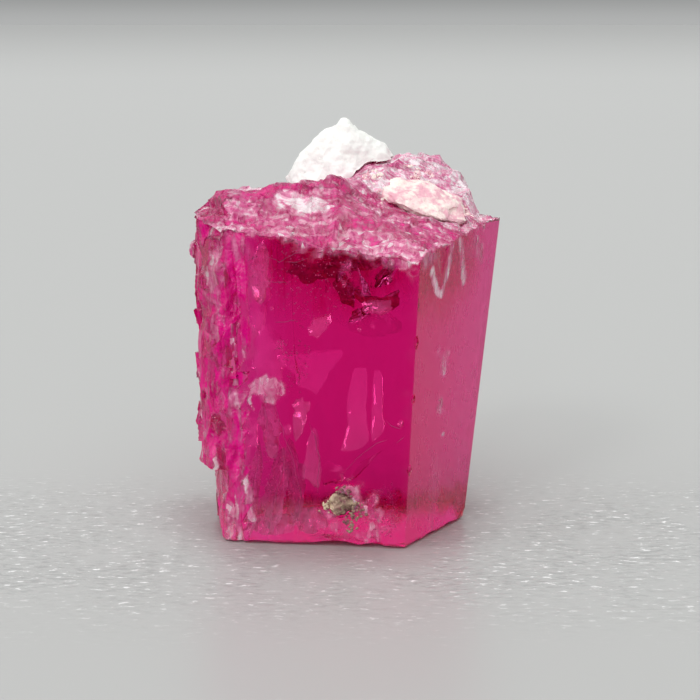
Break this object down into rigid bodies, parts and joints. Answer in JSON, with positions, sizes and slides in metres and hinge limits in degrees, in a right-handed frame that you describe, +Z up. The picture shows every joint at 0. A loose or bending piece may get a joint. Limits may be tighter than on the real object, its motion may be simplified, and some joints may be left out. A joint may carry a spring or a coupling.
{
  "type": "red beryl crystal",
  "caption": "Stubby six-sided magenta crystal standing on its broken base, with a frosted top, an etched flank and crumbs of pale host rock.",
  "frame": {"origin": "under the middle of the specimen, on the surface that it stands on", "axes": "+Z up along the crystal's long axis, -Y towards the clear front prism face, +X to the viewer's right of that face"},
  "size_m": [0.008, 0.006, 0.0106],
  "materials": {
    "beryl": "clear deep magenta crystal, glassy on the prism faces, frosted on the broken top and etched flank",
    "white_rock": "chalky off-white rhyolite, fine grained",
    "cream_rock": "crumbly cream crust",
    "tan_rock": "earthy tan and olive crumb"
  },
  "bodies": {
    "root": {"red_beryl_crystal": "beryl", "white_matrix_cap": "white_rock", "cream_matrix_crust": "cream_rock", "tan_matrix_crumb": "tan_rock"}
  },
  "joints": []
}
